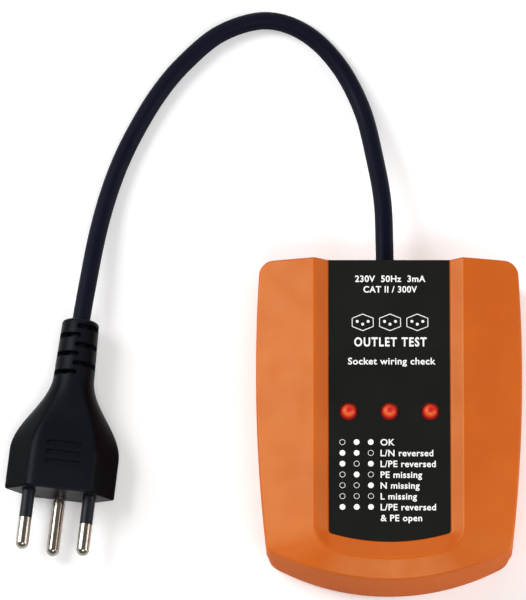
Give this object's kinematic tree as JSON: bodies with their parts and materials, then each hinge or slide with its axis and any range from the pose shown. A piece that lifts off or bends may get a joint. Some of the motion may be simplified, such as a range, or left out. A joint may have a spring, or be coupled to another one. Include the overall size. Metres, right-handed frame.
{
  "type": "mains socket tester with moulded plug",
  "caption": "Hand-held mains socket tester: flat orange case with indicator lamps and fault chart, on a short lead with a moulded three-pin plug.",
  "frame": {"origin": "centre of the case's flat back, which rests on the surface", "axes": "+Z out of the front face, +Y along the case towards the cord, +X to the right seen from the front"},
  "size_m": [0.1612, 0.1902, 0.03],
  "materials": {
    "orange_housing": "fine spark-textured ABS",
    "label_film": "satin printed film",
    "zinc_screw": "zinc plated",
    "circuit_board": "green solder mask",
    "lamp_spacer": "natural nylon",
    "red_lamp": "clear red epoxy, emissive when lit",
    "resistor_coat": "lacquered body",
    "diode_case": "moulded epoxy",
    "clamp_nylon": "natural nylon",
    "grommet_rubber": "matt",
    "cord_jacket": "soft PVC, satin",
    "plug_moulding": "soft PVC, fine texture",
    "pin_insulation": "hard black plastic",
    "nickel_pin": "bright nickel plating",
    "wire_brown": "PVC insulation",
    "wire_blue": "PVC insulation",
    "wire_green_yellow": "PVC insulation"
  },
  "bodies": {
    "root": {"board_screw_1": "zinc_screw", "board_screw_2": "zinc_screw", "board_screw_3": "zinc_screw", "board_screw_4": "zinc_screw", "bottom_shell": "orange_housing", "case_screw_1": "zinc_screw", "case_screw_2": "zinc_screw", "case_screw_3": "zinc_screw", "case_screw_4": "zinc_screw", "case_wire_blue": "wire_blue", "case_wire_brown": "wire_brown", "case_wire_earth": "wire_green_yellow", "circuit_board": "circuit_board", "clamp_screw_left": "zinc_screw", "clamp_screw_right": "zinc_screw", "cord_clamp": "clamp_nylon", "cord_grommet": "grommet_rubber", "diode_1": "diode_case", "diode_2": "diode_case", "diode_3": "diode_case", "earth_pin": "nickel_pin", "front_label": "label_film", "led_left": "red_lamp", "led_middle": "red_lamp", "led_right": "red_lamp", "led_spacer_left": "lamp_spacer", "led_spacer_middle": "lamp_spacer", "led_spacer_right": "lamp_spacer", "line_pin": "nickel_pin", "line_pin_sleeve": "pin_insulation", "mains_cord": "cord_jacket", "neutral_pin": "nickel_pin", "neutral_pin_sleeve": "pin_insulation", "plug_body": "plug_moulding", "plug_carrier": "pin_insulation", "plug_wire_blue": "wire_blue", "plug_wire_brown": "wire_brown", "plug_wire_earth": "wire_green_yellow", "resistor_1": "resistor_coat", "resistor_2": "resistor_coat", "resistor_3": "resistor_coat", "resistor_4": "resistor_coat", "resistor_5": "resistor_coat", "resistor_6": "resistor_coat", "top_shell": "orange_housing"}
  },
  "joints": []
}
